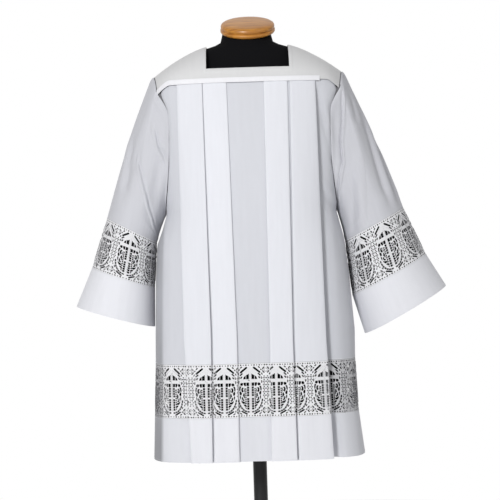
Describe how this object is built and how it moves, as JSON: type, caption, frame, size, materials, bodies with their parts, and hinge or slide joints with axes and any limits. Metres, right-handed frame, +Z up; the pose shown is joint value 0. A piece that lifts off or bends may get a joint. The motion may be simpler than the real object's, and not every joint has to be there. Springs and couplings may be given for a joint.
{
  "type": "surplice on a dress form",
  "caption": "Knee-length white surplice with a square neck yoke, box pleats, wide open sleeves and lace bands above plain hems, on a limbless black dress form with pole and round base",
  "frame": {"origin": "centre of the round base's underside, on the pole's axis", "axes": "+Z up along the pole, -Y the way the garment's front faces, +X to the right as the front is looked at"},
  "size_m": [0.8525, 0.37, 1.5358],
  "materials": {
    "cloth": "plain woven white cloth, matt",
    "yoke": "doubled white cloth, matt",
    "lace": "white cotton lace, matt",
    "jersey": "black knitted cover, matt",
    "wood": "turned, stained and varnished",
    "stand": "black powder coat, satin"
  },
  "bodies": {
    "root": {"yoke_front": "yoke", "yoke_back": "yoke", "yoke_band_front": "yoke", "yoke_band_back": "yoke", "panel_front": "cloth", "panel_back": "cloth", "lace_front": "lace", "lace_back": "lace", "hem_front": "cloth", "hem_back": "cloth", "sleeve_left": "cloth", "sleeve_right": "cloth", "sleeve_lace_left_front": "lace", "sleeve_lace_left_back": "lace", "sleeve_lace_right_front": "lace", "sleeve_lace_right_back": "lace", "cuff_left": "cloth", "cuff_right": "cloth", "form_torso": "jersey", "form_neck_cap": "wood", "form_socket": "stand", "form_pole": "stand", "form_base": "stand"}
  },
  "joints": []
}
